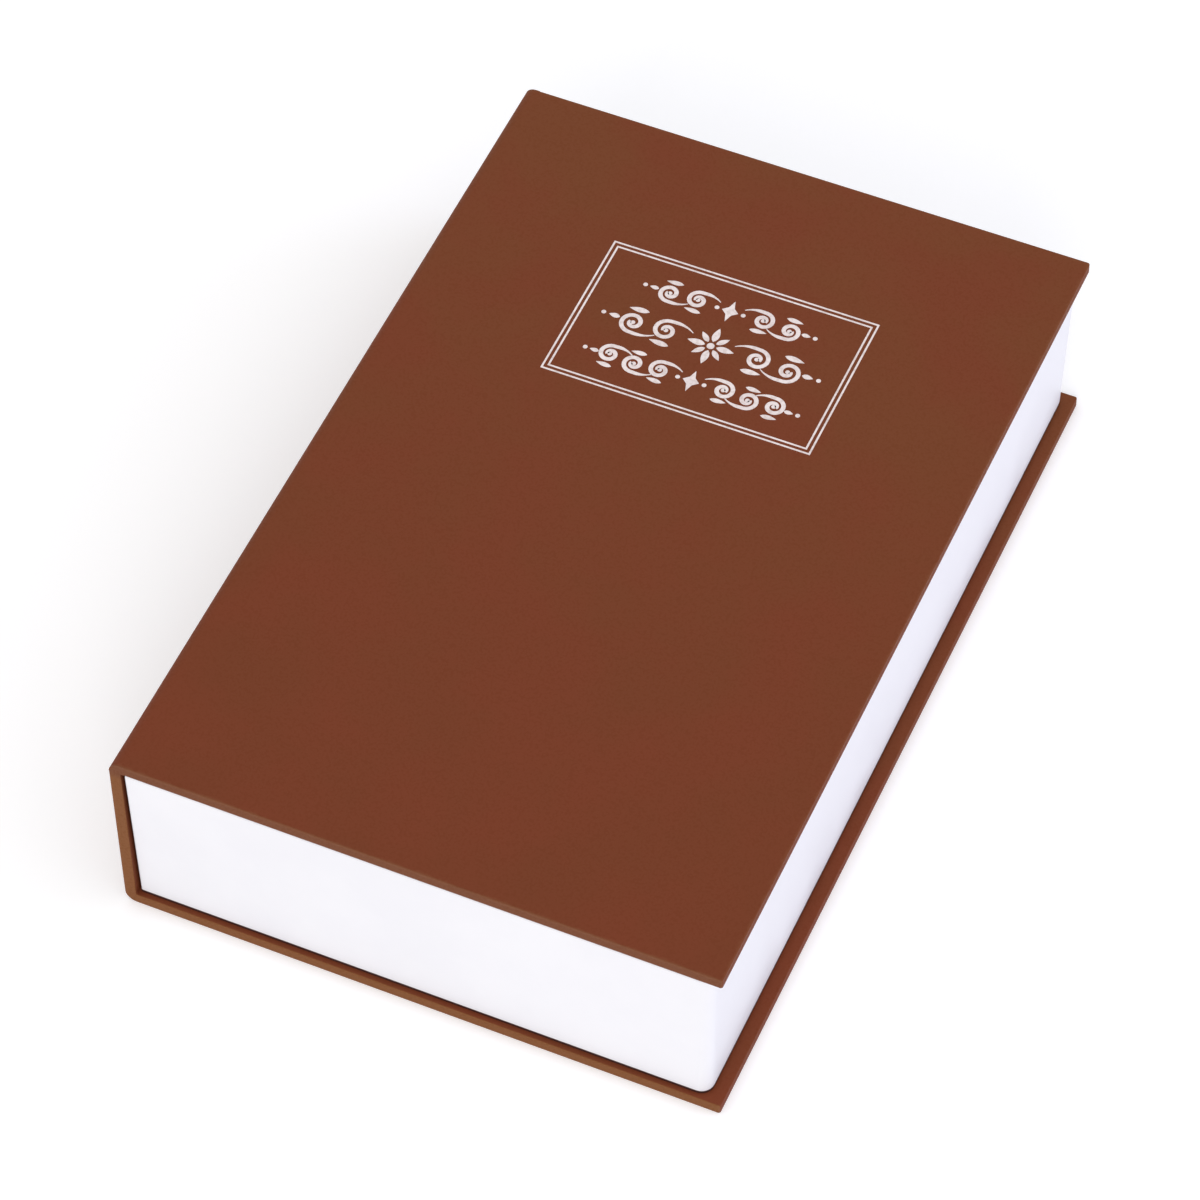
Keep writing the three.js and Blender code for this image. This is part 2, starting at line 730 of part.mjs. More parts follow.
// An angle on the fore wall: its shelf holds the cam down
function strikePlate() {
  const wall = tray.u1 - traySteel;
  const low = strikeUnderside;
  const shelf = low + strikeSteel;
  const angle = [
    [wall - strikeReach, low],
    [wall, low],
    [wall, low + strikeHeight],
    [wall - strikeSteel, low + strikeHeight],
    [wall - strikeSteel, shelf],
    [wall - strikeReach, shelf],
  ].map(([u, z]) => new THREE.Vector2(u, z));
  const middle = lockAxis.v;
  const holes = strikeRivetPlaces().map((v) => rivetHole(wall, v, strikeRivetHeight, 'u'));
  return cut(run(angle, middle - strikeLength / 2, middle + strikeLength / 2), holes);
}

// Colours and finishes
const finishes = {
  coverSheet: [0x76402b, 0.62, 0],
  greyBoard: [0x8d867c, 0.9, 0],
  paper: [0xefeae0, 0.85, 0],
  plastic: [0xf6f5f8, 0.45, 0],
  tape: [0x2b2b2d, 0.95, 0],
  paintedSteel: [0x1b1c1e, 0.5, 0.1],
  zincSteel: [0xb7babd, 0.35, 1],
  chrome: [0xd9dadc, 0.12, 1],
  brass: [0xb8934a, 0.3, 1],
};

function piece(name, shape, finish) {
  const [color, roughness, metalness] = finishes[finish];
  const geometry = shape.isBufferGeometry ? shape : geometryOf(shape);
  const mesh = new THREE.Mesh(geometry, new THREE.MeshStandardMaterial({ color, roughness, metalness }));
  mesh.name = name;
  return mesh;
}

function addCase(group) {
  group.add(piece('back_cover_sheet', backAndSpineSheet(), 'coverSheet'));
  group.add(piece('back_board', backBoard(), 'greyBoard'));
  group.add(piece('spine_board', spineBoard(), 'greyBoard'));
  group.add(piece('back_lining', backLining(), 'paper'));
  group.add(piece('hinge_cloth', hingeCloth(), 'coverSheet'));
}

function frontCover() {
  const group = new THREE.Group();
  group.add(piece('front_cover_sheet', frontSheet(), 'coverSheet'));
  group.add(piece('front_board', frontBoard(), 'greyBoard'));
  group.add(piece('front_lining', frontLining(), 'paper'));
  return group;
}

function addBox(group) {
  group.add(piece('page_shell', pageShell(), 'plastic'));
  tapeShares.forEach((share, i) => group.add(piece(`foam_tape_${i + 1}`, foamTape(share), 'tape')));
  group.add(piece('tray_floor', trayFloor(), 'paintedSteel'));
  group.add(piece('steel_tray', steelTray(), 'paintedSteel'));
  group.add(piece('fixed_hinge_leaf', fixedLeaf(), 'zincSteel'));
  group.add(piece('hinge_pin', hingePin(), 'zincSteel'));
  group.add(piece('strike_plate', strikePlate(), 'zincSteel'));
  hingeRivetPlaces().forEach((v, i) => {
    const rivet = rivetGeometry(traySteel + leafSteel).rotateZ(-Math.PI / 2);
    const mesh = piece(`tray_hinge_rivet_${i + 1}`, solid(rivet), 'zincSteel');
    mesh.position.set(tray.u0 + traySteel + leafSteel, v, hingeRivetHeight);
    group.add(mesh);
  });
  strikeRivetPlaces().forEach((v, i) => {
    const rivet = rivetGeometry(traySteel + strikeSteel).rotateZ(Math.PI / 2);
    const mesh = piece(`strike_rivet_${i + 1}`, solid(rivet), 'zincSteel');
    mesh.position.set(tray.u1 - traySteel - strikeSteel, v, strikeRivetHeight);
    group.add(mesh);
  });
}

function lidWithLock() {
  const group = new THREE.Group();
  group.add(piece('lid', lidPlate(), 'paintedSteel'));
  group.add(piece('moving_hinge_leaf', movingLeaf(), 'zincSteel'));
  hingeRivetPlaces().forEach((v, i) => {
    const rivet = rivetGeometry(lidSteel + leafSteel).rotateX(Math.PI / 2);
    const mesh = piece(`lid_hinge_rivet_${i + 1}`, solid(rivet), 'zincSteel');
    mesh.position.set(hingeRivetU, v, lidTop);
    group.add(mesh);
  });
  group.add(piece('lock_body', lockBody(), 'chrome'));
  group.add(piece('lock_washer', lockWasher(), 'zincSteel'));
  group.add(piece('lock_nut', lockNut(), 'zincSteel'));
  return group;
}

function plugWithCam() {
  const group = new THREE.Group();
  group.add(piece('lock_plug', lockPlug(), 'chrome'));
  waferHeights().forEach((z, i) => group.add(piece(`wafer_${i + 1}`, wafer(z), 'brass')));
  group.add(piece('lock_cam', lockCam(), 'zincSteel'));
  group.add(piece('cam_washer', camWasher(), 'zincSteel'));
  group.add(piece('cam_screw', camScrew(), 'zincSteel'));
  return group;
}

const book = new THREE.Group();
addCase(book);
addBox(book);
book.add(frontCover());
book.add(lidWithLock());
book.add(plugWithCam());
book.position.set(-bookWidth / 2, -bookLength / 2, 0);

const part = new THREE.Group();
part.add(book);

export default part;
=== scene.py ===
import json
import math

import bpy
from mathutils import Matrix, Vector

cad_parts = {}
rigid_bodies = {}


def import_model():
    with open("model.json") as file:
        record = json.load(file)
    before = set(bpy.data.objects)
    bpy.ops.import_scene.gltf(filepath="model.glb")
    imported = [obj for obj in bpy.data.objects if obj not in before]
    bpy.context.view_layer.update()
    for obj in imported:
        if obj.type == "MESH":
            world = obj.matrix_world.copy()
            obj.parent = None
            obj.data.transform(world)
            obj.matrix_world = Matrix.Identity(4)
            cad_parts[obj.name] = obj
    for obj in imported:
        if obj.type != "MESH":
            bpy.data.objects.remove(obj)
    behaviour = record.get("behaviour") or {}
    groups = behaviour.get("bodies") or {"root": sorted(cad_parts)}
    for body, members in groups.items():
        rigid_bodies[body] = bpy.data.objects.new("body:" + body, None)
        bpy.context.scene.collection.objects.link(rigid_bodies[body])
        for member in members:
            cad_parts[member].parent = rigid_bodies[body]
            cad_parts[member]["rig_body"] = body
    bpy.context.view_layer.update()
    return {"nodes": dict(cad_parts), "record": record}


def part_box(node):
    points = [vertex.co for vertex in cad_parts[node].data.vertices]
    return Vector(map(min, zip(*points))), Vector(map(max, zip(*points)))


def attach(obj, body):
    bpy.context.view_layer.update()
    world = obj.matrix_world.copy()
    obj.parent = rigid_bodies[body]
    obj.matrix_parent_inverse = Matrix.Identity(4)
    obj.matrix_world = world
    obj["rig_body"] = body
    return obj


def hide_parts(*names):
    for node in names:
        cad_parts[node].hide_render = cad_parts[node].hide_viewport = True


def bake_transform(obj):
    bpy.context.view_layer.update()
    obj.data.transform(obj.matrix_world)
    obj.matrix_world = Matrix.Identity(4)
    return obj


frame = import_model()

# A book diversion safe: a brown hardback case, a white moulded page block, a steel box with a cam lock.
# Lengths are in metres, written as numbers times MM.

MM = 0.001

# The covering sheet
SHEET = 0.4 * MM
TURN_IN = 15 * MM

# Its round board edges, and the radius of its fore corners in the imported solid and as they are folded
EDGE_ROUND = 0.55 * MM
EDGE_STEPS = 3
EDGE_ANGLE = 40
CORNER = 1.5 * MM
TIGHT_CORNER = 0.65 * MM

# The mesh of the bent joint between spine and front cover
JOINT_STEPS = 14
SKIN_ROWS = 40
FOLD_ROWS = 6

# The laps of sheet over the board ends at the joint
LAP = 0.1 * MM
LAP_AIR = 0.02 * MM
LAP_ROUND = 0.03 * MM

# The blocked title frame on the front cover, by its outer edge
FRAME_LOW = (-35.4 * MM, 32.9 * MM)
FRAME_HIGH = (37.3 * MM, 79.4 * MM)
RULE = 0.5 * MM
RULE_GAP = 0.83 * MM
FOIL_THICKNESS = 0.03 * MM

# The ornament in the frame: each band's rise, where its scrolls start and end, their radius and how many
BANDS = [
    (12.6 * MM, 5.2 * MM, 20.0 * MM, 2.75 * MM, 2),
    (0, 8.0 * MM, 25.4 * MM, 3.3 * MM, 2),
    (-12.6 * MM, 5.2 * MM, 25.6 * MM, 2.75 * MM, 3),
]
SCROLL_TURNS = 1.3
SCROLL_HEART = 0.22
SCROLL_TAIL = 1.3
SCROLL_FLARE = 1.1
SCROLL_EYE = 0.62 * MM
SCROLL_STROKE = (0.55 * MM, 0.6 * MM)

# How close points are that become one, by piece
SOLID_WELD = 0.002 * MM
JOINT_WELD = 0.005 * MM
FOIL_WELD = 0.001 * MM

# In degrees: faces this flat become one, edges sharper than this are softened, shading is smooth to this
FLAT_ANGLE = 0.5
SHARP_ANGLE = 30
SMOOTH_ANGLE = 35


# Modelling by hand

def select_nothing():
    bpy.ops.object.select_all(action="DESELECT")


def only(obj):
    """Selects one object and nothing else, and makes it the active one."""
    if bpy.context.mode != "OBJECT":
        bpy.ops.object.mode_set(mode="OBJECT")
    select_nothing()
    obj.select_set(True)
    bpy.context.view_layer.objects.active = obj
    return obj


def edit_all(obj):
    only(obj)
    bpy.ops.object.mode_set(mode="EDIT")
    bpy.ops.mesh.select_all(action="SELECT")


def leave_edit():
    bpy.ops.object.mode_set(mode="OBJECT")


def weld(obj, distance):
    """Joins points that lie on each other."""
    edit_all(obj)
    bpy.ops.mesh.remove_doubles(threshold=distance)
    leave_edit()


def named(name):
    """Gives a name to what an operator has just made."""
    bpy.context.object.name = name
    return bpy.context.object


def stretched(obj, size):
    """Gives a piece of unit size its real size, and puts its place into its mesh."""
    obj.scale = size
    place_in_mesh(obj)
    return obj


def place_in_mesh(obj):
    only(obj)
    bpy.ops.object.transform_apply(location=True, rotation=True, scale=True)


def apply_modifiers(obj):
    only(obj)
    for modifier in list(obj.modifiers):
        bpy.ops.object.modifier_apply(modifier=modifier.name)


def smooth(obj, degrees=SMOOTH_ANGLE, weight=100):
    """Smooth shading up to an angle; a high weight keeps flat faces flat beside their rounded edges."""
    only(obj)
    bpy.ops.object.shade_smooth_by_angle(angle=math.radians(degrees))
    weighted = obj.modifiers.new("flat_faces", "WEIGHTED_NORMAL")
    weighted.keep_sharp = True
    weighted.weight = weight
    apply_modifiers(obj)


def join(objects, name):
    only(objects[0])
    for obj in objects:
        obj.select_set(True)
    if len(objects) > 1:
        bpy.ops.object.join()
    objects[0].name = name
    return objects[0]


def finish_with(obj, material):
    obj.data.materials.clear()
    obj.data.materials.append(material)


def dress(obj, material, body):
    finish_with(obj, material)
    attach(obj, body)


def merged_copy(node, name):
    """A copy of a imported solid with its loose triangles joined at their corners."""
    source = frame["nodes"][node]
    copy = source.copy()
    copy.data = source.data.copy()
    copy.name = name
    for key in list(copy.keys()):
        del copy[key]
    bpy.context.scene.collection.objects.link(copy)
    only(copy)
    bpy.ops.mesh.customdata_custom_splitnormals_clear()
    weld(copy, SOLID_WELD)
    return copy


def rounded_copy(node, name, width, segments=2, sharp=SHARP_ANGLE, keep=None, reshape=None):
    """A merged copy with softened edges; keep says which stay sharp, and reshape changes it first."""
    copy = merged_copy(node, name)
    if reshape is not None:
        reshape(copy)
    edit_all(copy)
    bpy.ops.mesh.dissolve_limited(angle_limit=math.radians(FLAT_ANGLE))
    leave_edit()
    bevel = copy.modifiers.new("edges", "BEVEL")
    bevel.width = width
    bevel.segments = segments
    bevel.use_clamp_overlap = True
    if keep is None:
        bevel.limit_method = "ANGLE"
        bevel.angle_limit = math.radians(sharp)
    else:
        weights = copy.data.attributes.new("bevel_weight_edge", "FLOAT", "EDGE")
        bevel.limit_method = "WEIGHT"
        mark_bevels(copy, weights, math.radians(sharp), keep)
    apply_modifiers(copy)
    smooth(copy)
    return copy


def mark_bevels(obj, weights, sharp, keep):
    """Marks the edges to soften: those that are sharp, apart from those that keep names."""
    mesh = obj.data
    faces = {}
    for face in mesh.polygons:
        for key in face.edge_keys:
            faces.setdefault(key, []).append(face.normal)
    for edge in mesh.edges:
        normals = faces.get(edge.key, [])
        a, b = (mesh.vertices[i].co for i in edge.vertices)
        bent = len(normals) == 2 and normals[0].angle(normals[1], 0) > sharp
        weights.data[edge.index].value = 1.0 if bent and not keep(a, b) else 0.0


# Shader nodes

def feed(tree, socket, value):
    """Links a socket to another one, or sets it to a plain value."""
    if isinstance(value, bpy.types.NodeSocket):
        tree.links.new(value, socket)
    else:
        socket.default_value = value


def add_node(tree, kind, inputs=None, **settings):
    node = tree.nodes.new(kind)
    for key, value in settings.items():
        setattr(node, key, value)
    for key, value in (inputs or {}).items():
        feed(tree, node.inputs[key], value)
    return node


def calculate(tree, operation, a, b=0.0):
    return add_node(tree, "ShaderNodeMath", {0: a, 1: b}, operation=operation).outputs[0]


def calculate_vector(tree, operation, a, b=(0.0, 0.0, 0.0)):
    return add_node(tree, "ShaderNodeVectorMath", {0: a, 1: b}, operation=operation).outputs[0]


def ramp(tree, value, low, high, to_low=0.0, to_high=1.0):
    """A smooth step: to_low where the value is low, to_high where it is high."""
    inputs = {"Value": value, "From Min": low, "From Max": high, "To Min": to_low, "To Max": to_high}
    return add_node(tree, "ShaderNodeMapRange", inputs, interpolation_type="SMOOTHSTEP").outputs["Result"]


def mix_colour(tree, factor, a, b):
    return add_node(tree, "ShaderNodeMix", {0: factor, 6: a, 7: b}, data_type="RGBA").outputs[2]


def place_on_object(tree):
    return tree.nodes.new("ShaderNodeTexCoord").outputs["Object"]


def split(tree, vector):
    """The x, y and z of a vector."""
    return add_node(tree, "ShaderNodeSeparateXYZ", {0: vector}).outputs


def noise(tree, where, scale, detail, **more):
    inputs = {"Vector": where, "Scale": scale, "Detail": detail, **more}
    return add_node(tree, "ShaderNodeTexNoise", inputs).outputs


# Node groups: effects that more than one material uses

def new_group(name, inputs, outputs):
    group = bpy.data.node_groups.new(name, "ShaderNodeTree")
    for label, kind, default in inputs:
        socket = group.interface.new_socket(label, in_out="INPUT", socket_type=kind)
        socket.default_value = default
    for label in outputs:
        group.interface.new_socket(label, in_out="OUTPUT", socket_type="NodeSocketFloat")
    return group, group.nodes.new("NodeGroupInput").outputs, group.nodes.new("NodeGroupOutput").inputs


def grain_group():
    """Pebbled leatherette, orange peel or foam: rounded cells with fine noise over them."""
    group, given, out = new_group(
        "pebble_grain",
        [
            ("Cell", "NodeSocketFloat", 1000.0),
            ("Fine", "NodeSocketFloat", 4000.0),
            ("Share", "NodeSocketFloat", 0.3),
        ],
        ["Height", "Pits"],
    )
    where = place_on_object(group)
    warp = calculate_vector(group, "MULTIPLY", noise(group, where, 300.0, 2.0)["Color"], (GRAIN_WARP,) * 3)
    moved = calculate_vector(group, "ADD", where, warp)
    inputs = {"Vector": moved, "Scale": given["Cell"]}
    cells = add_node(group, "ShaderNodeTexVoronoi", inputs, feature="SMOOTH_F1")
    fine = noise(group, where, given["Fine"], 3.0, Roughness=0.6)
    pebble = calculate(group, "SUBTRACT", 1.0, cells.outputs["Distance"])
    part = calculate(group, "MULTIPLY", fine["Fac"], given["Share"])
    feed(group, out["Height"], calculate(group, "ADD", pebble, part))
    feed(group, out["Pits"], ramp(group, pebble, *PIT_DEPTHS))
    return group


def mottle_group():
    """Broad uneven patches, between 0 and 1, and fine specks of dust."""
    group, given, out = new_group("mottle", [("Scale", "NodeSocketFloat", 25.0)], ["Patches", "Specks"])
    where = place_on_object(group)
    broad = noise(group, where, given["Scale"], 5.0, Roughness=0.55)
    speck = noise(group, where, SPECK_SCALE, 2.0)
    feed(group, out["Patches"], ramp(group, broad["Fac"], 0.3, 0.7))
    feed(group, out["Specks"], ramp(group, speck["Fac"], 0.55, 0.75))
    return group


def edge_wear_group():
    """How worn a point is: 1 on the edges of a box, fading over a width."""
    group, given, out = new_group(
        "box_edge_wear",
        [
            ("Middle", "NodeSocketVector", (0.0, 0.0, 0.0)),
            ("Half", "NodeSocketVector", (1.0, 1.0, 1.0)),
            ("Width", "NodeSocketFloat", 0.001),
        ],
        ["Wear"],
    )
    where = place_on_object(group)
    off = calculate_vector(group, "SUBTRACT", where, given["Middle"])
    size = calculate_vector(group, "ABSOLUTE", off)
    x, y, z = split(group, calculate_vector(group, "SUBTRACT", given["Half"], size))
    # An edge is where the second smallest depth is near nothing.
    low = calculate(group, "MINIMUM", calculate(group, "MAXIMUM", x, y), calculate(group, "MAXIMUM", y, z))
    second = calculate(group, "MINIMUM", low, calculate(group, "MAXIMUM", x, z))
    torn = ramp(group, noise(group, where, WEAR_SCALE, 6.0, Roughness=0.7)["Fac"], 0.3, 0.75, 0.1, 1.6)
    reach = calculate(group, "MULTIPLY", torn, given["Width"])
    feed(group, out["Wear"], ramp(group, calculate(group, "DIVIDE", second, reach), 1.0, 0.25))
    return group


def brushed_group():
    """Fine lines drawn along the axis that Stretch leaves long, and a cloudy sheen."""
    group, given, out = new_group(
        "brushed",
        [("Stretch", "NodeSocketVector", (40.0, 1500.0, 1500.0))],
        ["Lines", "Cloud"],
    )
    where = place_on_object(group)
    drawn = calculate_vector(group, "MULTIPLY", where, given["Stretch"])
    feed(group, out["Lines"], noise(group, drawn, 1.0, 4.0)["Fac"])
    feed(group, out["Cloud"], noise(group, where, CLOUD_SCALE, 4.0)["Fac"])
    return group


# What the groups' patterns have in common: how far cells are bent, where pits start, and noise per metre
GRAIN_WARP = 0.6 * MM
PIT_DEPTHS = (0.62, 0.35)
SPECK_SCALE = 1800.0
WEAR_SCALE = 260.0
CLOUD_SCALE = 120.0

GRAIN = grain_group()
MOTTLE = mottle_group()
EDGE_WEAR = edge_wear_group()
BRUSHED = brushed_group()


def use_group(tree, group, **inputs):
    return add_node(tree, "ShaderNodeGroup", inputs, node_tree=group).outputs


# Materials. Colours are linear, and a pair of them holds the two ends of a change of tone.

COVER_TAIL = (0.168, 0.0408, 0.0137, 1.0)
COVER_HEAD = (0.176, 0.0498, 0.0160, 1.0)
COVER_RED = (0.185, 0.0400, 0.0145, 1.0)
COVER_DARK = (0.125, 0.030, 0.0105, 1.0)
COVER_WORN = (0.240, 0.095, 0.040, 1.0)
# Painted light: lighter tones on the ends of the back and front boards, for the brighter light on their
# faces
BACK_END_LIGHT = (0.207, 0.077, 0.025, 1.0)
FRONT_END_LIGHT = (0.168, 0.057, 0.024, 1.0)
COVER_ROUGH = 0.64

PLASTIC_TONES = ((0.819, 0.808, 0.84, 1.0), (0.844, 0.833, 0.86, 1.0))
# Painted shade for the narrow joints at the page block's foot and spine side
JOINT_SHADE_TONE = (0.042, 0.012, 0.009, 1.0)
FOIL_TONES = ((0.80, 0.70, 0.685, 1.0), (0.90, 0.81, 0.79, 1.0))
FOIL_PITTED = (0.45, 0.33, 0.27, 1.0)
PAPER_TONES = ((0.83, 0.79, 0.70, 1.0), (0.88, 0.85, 0.77, 1.0))
BOARD_TONES = ((0.22, 0.2, 0.17, 1.0), (0.33, 0.3, 0.26, 1.0))
POWDER_TONES = ((0.012, 0.012, 0.014, 1.0), (0.018, 0.018, 0.02, 1.0))
POWDER_DUST = (0.10, 0.10, 0.10, 1.0)
FOAM_TONES = ((0.03, 0.03, 0.032, 1.0), (0.008, 0.008, 0.009, 1.0))
CLOUDED_METAL = 0.82

# Painted light on the board ends, a lighter tone for their brighter faces: how deep it lies, and between
# which depths under the top it changes
END_LIGHT_DEPTHS = (0.4 * MM, 0.1 * MM)
END_LIGHT_CHANGE = (6 * MM, 3 * MM)
COVER_WEAR_WIDTH = 0.9 * MM

# The page block: its leaf lines, and the painted shade along its joint with the back cover and the spine
LEAF_PITCH = 0.55 * MM
LEAF_WANDER = 0.4 * MM
JOINT_SHADE_TOP = 3.95 * MM
JOINT_SHADE_SPINE = -74.6 * MM
JOINT_SHADE_FADE = 0.1 * MM


def new_material(name):
    material = bpy.data.materials.new(name)
    material.use_nodes = True
    return material, material.node_tree, material.node_tree.nodes["Principled BSDF"].inputs


def bump(tree, shader, height, strength, distance):
    node = add_node(tree, "ShaderNodeBump", {"Height": height, "Strength": strength, "Distance": distance})
    feed(tree, shader["Normal"], node.outputs["Normal"])


def cover_sheet_material(name, box):
    """Brown leatherette: pebbled grain, faint red patches, browner to the head, and painted light, a lighter
    tone, on its ends.
    """
    material, tree, shader = new_material(name)
    _, y, z = split(tree, place_on_object(tree))
    low, high = (Vector(corner) for corner in box)
    grain = use_group(tree, GRAIN, Cell=1900.0, Fine=7000.0, Share=0.35)
    mottle = use_group(tree, MOTTLE, Scale=32.0)
    wear = use_group(tree, EDGE_WEAR, Middle=(low + high) / 2, Half=(high - low) / 2, Width=COVER_WEAR_WIDTH)
    ground = mix_colour(tree, ramp(tree, y, low.y, high.y), COVER_TAIL, COVER_HEAD)
    base = mix_colour(tree, calculate(tree, "MULTIPLY", mottle["Patches"], 0.8), ground, COVER_RED)
    # Painted light: the board ends take a lighter tone, as if more brightly lit
    depth = calculate(tree, "SUBTRACT", high.y, calculate(tree, "ABSOLUTE", y))
    upper = ramp(tree, z, high.z - END_LIGHT_CHANGE[0], high.z - END_LIGHT_CHANGE[1])
    end = mix_colour(tree, upper, BACK_END_LIGHT, FRONT_END_LIGHT)
    base = mix_colour(tree, ramp(tree, depth, *END_LIGHT_DEPTHS), base, end)
    pitted = mix_colour(tree, calculate(tree, "MULTIPLY", grain["Pits"], 0.12), base, COVER_DARK)
    rubbed = mix_colour(tree, calculate(tree, "MULTIPLY", wear["Wear"], 0.2), pitted, COVER_WORN)
    rough = calculate(tree, "ADD", calculate(tree, "MULTIPLY", grain["Pits"], 0.12), COVER_ROUGH)
    rough = calculate(tree, "SUBTRACT", rough, calculate(tree, "MULTIPLY", wear["Wear"], 0.08))
    feed(tree, shader["Base Color"], rubbed)
    feed(tree, shader["Roughness"], rough)
    shader["Specular IOR Level"].default_value = 0.15
    bump(tree, shader, grain["Height"], 0.3, 0.03 * MM)
    return material


def plastic_material():
    """White moulding with faint leaf lines round the block, a satin skin, and painted shade along its foot
    and spine side.
    """
    material, tree, shader = new_material("white_plastic")
    where = place_on_object(tree)
    x, _, z = split(tree, where)
    wander = noise(tree, where, 18.0, 2.0)["Fac"]
    height = calculate(tree, "ADD", z, calculate(tree, "MULTIPLY", wander, LEAF_WANDER))
    leaves = calculate(tree, "SINE", calculate(tree, "MULTIPLY", height, 2 * math.pi / LEAF_PITCH))
    facing = split(tree, tree.nodes.new("ShaderNodeNewGeometry").outputs["True Normal"])
    upright = ramp(tree, calculate(tree, "ABSOLUTE", facing[2]), 0.5, 0.2)
    mottle = use_group(tree, MOTTLE, Scale=45.0)
    colour = mix_colour(tree, mottle["Patches"], *PLASTIC_TONES)
    # Painted shade: a dark band where the block meets the back cover and the spine, standing for the shadow
    # in that narrow joint
    uneven = calculate(tree, "MULTIPLY", wander, JOINT_SHADE_FADE)
    over = ramp(tree, calculate(tree, "ADD", z, uneven), JOINT_SHADE_TOP + JOINT_SHADE_FADE, JOINT_SHADE_TOP)
    past = ramp(tree, calculate(tree, "ADD", x, uneven), JOINT_SHADE_SPINE + JOINT_SHADE_FADE, JOINT_SHADE_SPINE)
    colour = mix_colour(tree, calculate(tree, "MAXIMUM", over, past), colour, JOINT_SHADE_TONE)
    feed(tree, shader["Base Color"], colour)
    feed(tree, shader["Roughness"], ramp(tree, mottle["Patches"], 0.0, 1.0, 0.38, 0.5))
    shader["Specular IOR Level"].default_value = 0.4
    bump(tree, shader, calculate(tree, "MULTIPLY", leaves, upright), 0.05, 0.02 * MM)
    return material


def foil_material():
    """Off-white blocking foil, a little broken where the grain stopped it."""
    material, tree, shader = new_material("foil")
    grain = use_group(tree, GRAIN, Cell=1150.0, Fine=5200.0, Share=0.35)
    mottle = use_group(tree, MOTTLE, Scale=160.0)
    colour = mix_colour(tree, mottle["Patches"], *FOIL_TONES)
    colour = mix_colour(tree, calculate(tree, "MULTIPLY", grain["Pits"], 0.3), colour, FOIL_PITTED)
    feed(tree, shader["Base Color"], colour)
    feed(tree, shader["Roughness"], ramp(tree, mottle["Specks"], 0.0, 1.0, 0.42, 0.6))
    shader["Metallic"].default_value = 0.15
    bump(tree, shader, grain["Height"], 0.3, 0.03 * MM)
    return material


def paper_material():
    """Cream lining paper with fibres and slight ripples from the paste."""
    material, tree, shader = new_material("lining_paper")
    where = place_on_object(tree)
    fibre = noise(tree, where, 900.0, 5.0, Distortion=1.5)["Fac"]
    ripple = noise(tree, where, 38.0, 2.0)["Fac"]
    feed(tree, shader["Base Color"], mix_colour(tree, ramp(tree, fibre, 0.35, 0.7), *PAPER_TONES))
    shader["Roughness"].default_value = 0.85
    height = calculate(tree, "ADD", calculate(tree, "MULTIPLY", ripple, 4.0), fibre)
    bump(tree, shader, height, 0.35, 0.06 * MM)
    return material


def board_material():
    """Grey board, felted from coarse fibres."""
    material, tree, shader = new_material("grey_board")
    fibre = noise(tree, place_on_object(tree), 1500.0, 6.0, Distortion=2.0)["Fac"]
    feed(tree, shader["Base Color"], mix_colour(tree, ramp(tree, fibre, 0.3, 0.7), *BOARD_TONES))
    shader["Roughness"].default_value = 0.92
    bump(tree, shader, fibre, 0.5, 0.08 * MM)
    return material


def powder_material():
    """Black powder coat: fine orange peel, dust in its broad patches."""
    material, tree, shader = new_material("painted_steel")
    grain = use_group(tree, GRAIN, Cell=1700.0, Fine=6000.0, Share=0.25)
    mottle = use_group(tree, MOTTLE, Scale=30.0)
    colour = mix_colour(tree, mottle["Patches"], *POWDER_TONES)
    colour = mix_colour(tree, calculate(tree, "MULTIPLY", mottle["Specks"], 0.14), colour, POWDER_DUST)
    feed(tree, shader["Base Color"], colour)
    feed(tree, shader["Roughness"], ramp(tree, mottle["Patches"], 0.0, 1.0, 0.4, 0.46))
    bump(tree, shader, grain["Height"], 0.35, 0.04 * MM)
    return material


def steel_material(name, tint, low_rough, high_rough, stretch):
    """Bare or plated metal with drawn lines and a cloudy sheen."""
    material, tree, shader = new_material(name)
    brushed = use_group(tree, BRUSHED, Stretch=stretch)
    dark = tuple(c * CLOUDED_METAL for c in tint)
    colour = mix_colour(tree, ramp(tree, brushed["Cloud"], 0.3, 0.7), dark + (1.0,), tint + (1.0,))
    feed(tree, shader["Base Color"], colour)
    shader["Metallic"].default_value = 1.0
    feed(tree, shader["Roughness"], ramp(tree, brushed["Lines"], 0.3, 0.7, low_rough, high_rough))
    bump(tree, shader, brushed["Lines"], 0.02, 0.01 * MM)
    return material


def foam_material():
    """Black foam with open cells."""
    material, tree, shader = new_material("foam_tape")
    grain = use_group(tree, GRAIN, Cell=2500.0, Fine=7000.0, Share=0.5)
    feed(tree, shader["Base Color"], mix_colour(tree, grain["Pits"], *FOAM_TONES))
    shader["Roughness"].default_value = 0.95
    bump(tree, shader, grain["Height"], 0.6, 0.1 * MM)
    return material


def background_rays(tree):
    """1 for the rays that see the white background: the camera's, and those that glass and metal send."""
    path = tree.nodes.new("ShaderNodeLightPath").outputs
    seen = calculate(tree, "MAXIMUM", path["Is Camera Ray"], path["Is Transmission Ray"])
    return calculate(tree, "MAXIMUM", seen, path["Is Glossy Ray"])


def floor_material():
    """Pale floor. A light of its own, which lights nothing, lifts it to white and keeps the shadow."""
    material, tree, shader = new_material("studio_floor")
    shader["Base Color"].default_value = FLOOR_TONE
    shader["Roughness"].default_value = 0.9
    shader["Specular IOR Level"].default_value = 0.1
    feed(tree, shader["Emission Color"], mix_colour(tree, background_rays(tree), (0, 0, 0, 1), FLOOR_LIGHT))
    shader["Emission Strength"].default_value = 1.0
    return material


